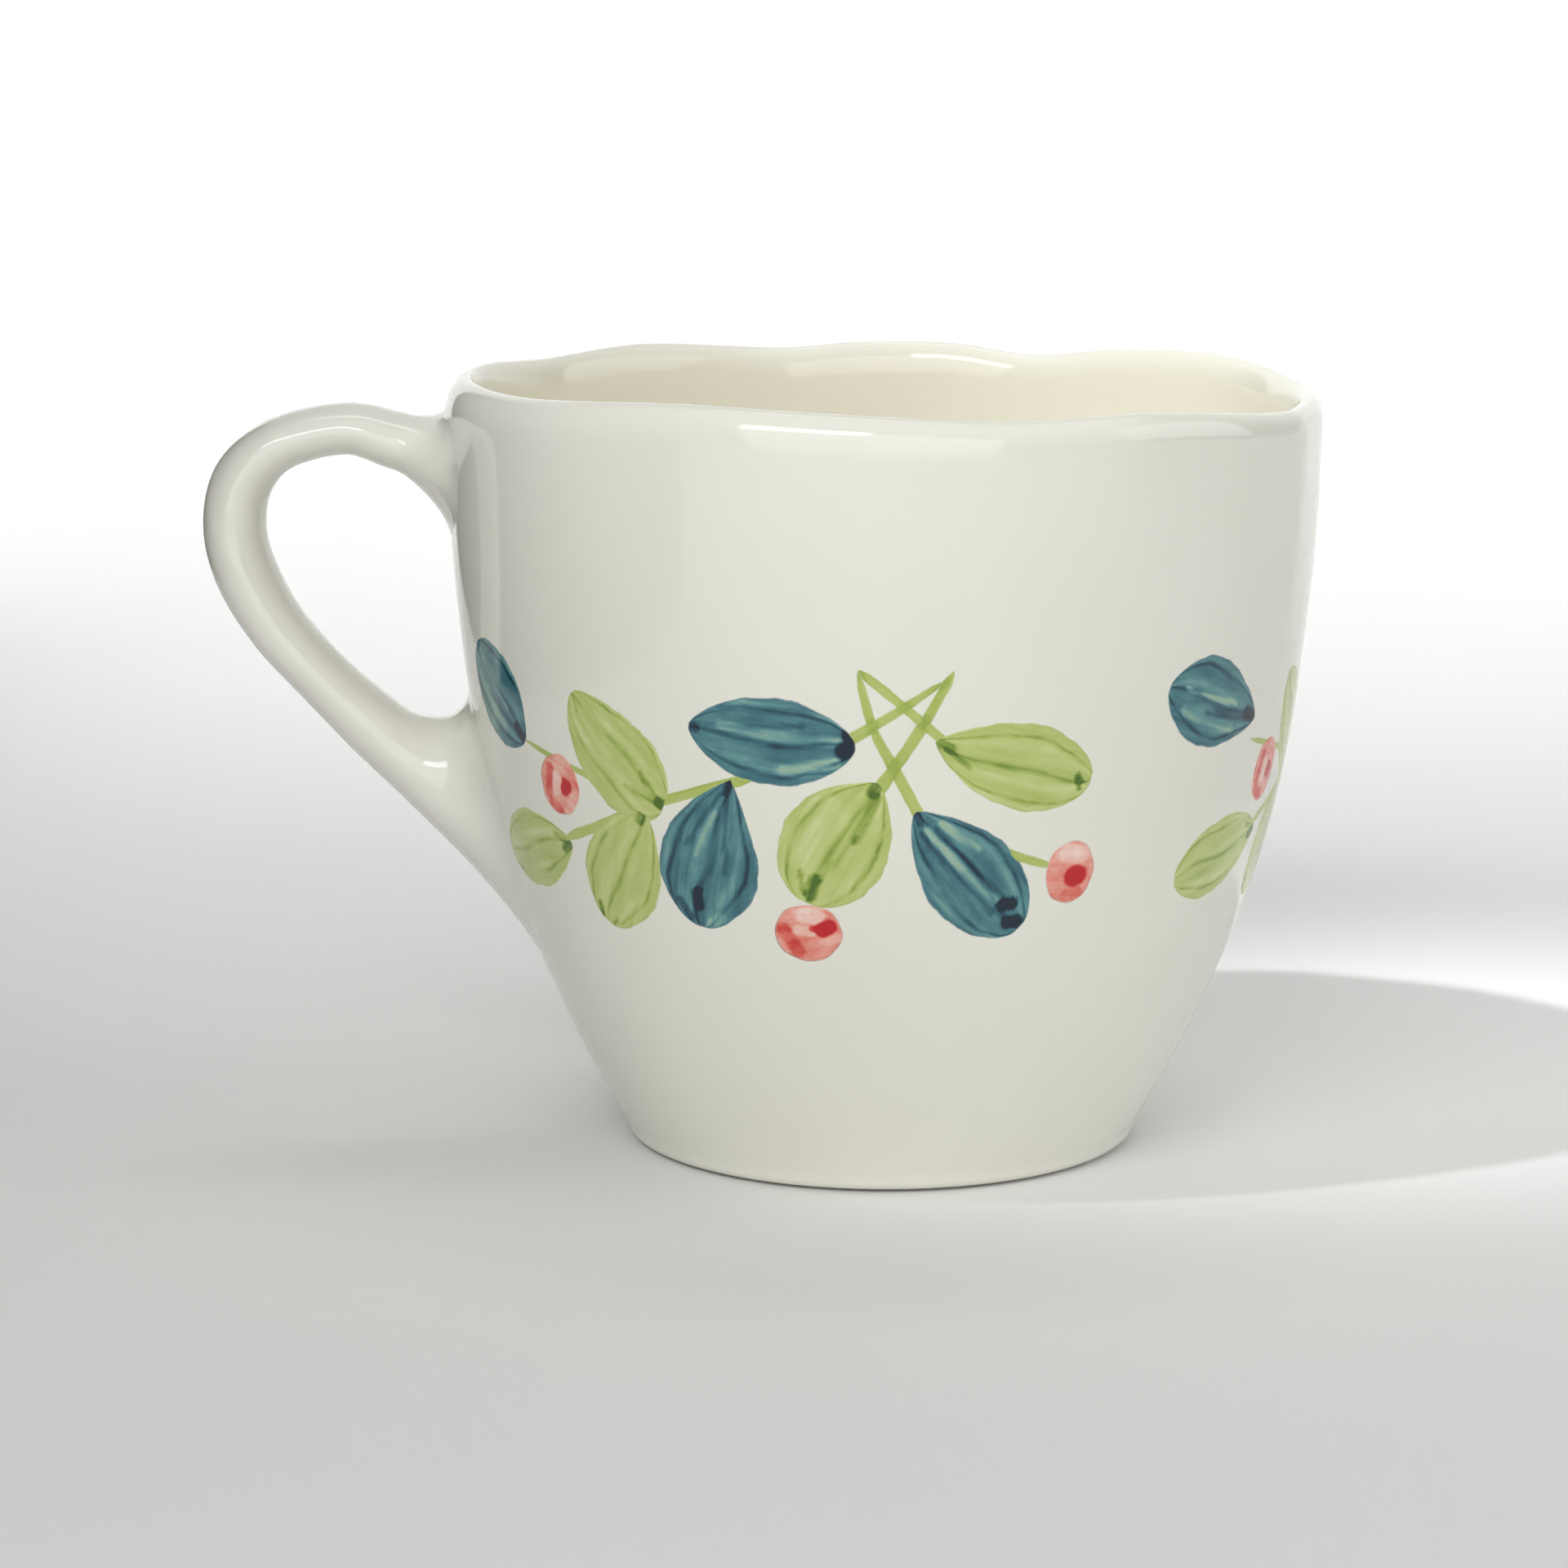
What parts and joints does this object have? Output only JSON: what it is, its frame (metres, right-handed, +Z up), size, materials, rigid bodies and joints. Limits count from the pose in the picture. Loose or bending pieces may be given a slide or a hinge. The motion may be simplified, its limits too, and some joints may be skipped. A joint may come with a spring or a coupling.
{
  "type": "mug",
  "caption": "Large stoneware mug with a pinched wavy lip, a teardrop loop handle, a bare clay foot ring and hand-painted leaf and berry sprigs.",
  "frame": {"origin": "on the mug's axis at table level, in the middle of the foot ring's resting face", "axes": "+Z up along the mug's axis, +X away from the handle, so the handle points along -X"},
  "size_m": [0.146, 0.1137, 0.1015],
  "materials": {
    "glaze": "glossy clear-over-cream stoneware glaze",
    "bare_clay": "unglazed fired clay, dry and slightly gritty",
    "stem_paint": "olive green underglaze brush stroke under clear glaze",
    "teal_paint": "translucent teal underglaze brushwork under clear glaze",
    "green_paint": "translucent yellow-green underglaze brushwork under clear glaze",
    "berry_paint": "coral red underglaze brushwork under clear glaze"
  },
  "bodies": {
    "root": {"mug_body": "glaze", "foot_ring": "bare_clay", "handle": "glaze", "upper_handle_join": "glaze", "lower_handle_join": "glaze", "front_sprig_stems": "stem_paint", "front_sprig_teal_leaves": "teal_paint", "front_sprig_green_leaves": "green_paint", "front_sprig_berries": "berry_paint", "right_sprig_stems": "stem_paint", "right_sprig_teal_leaves": "teal_paint", "right_sprig_green_leaves": "green_paint", "right_sprig_berries": "berry_paint", "back_sprig_stems": "stem_paint", "back_sprig_teal_leaves": "teal_paint", "back_sprig_green_leaves": "green_paint", "back_sprig_berries": "berry_paint"}
  },
  "joints": []
}
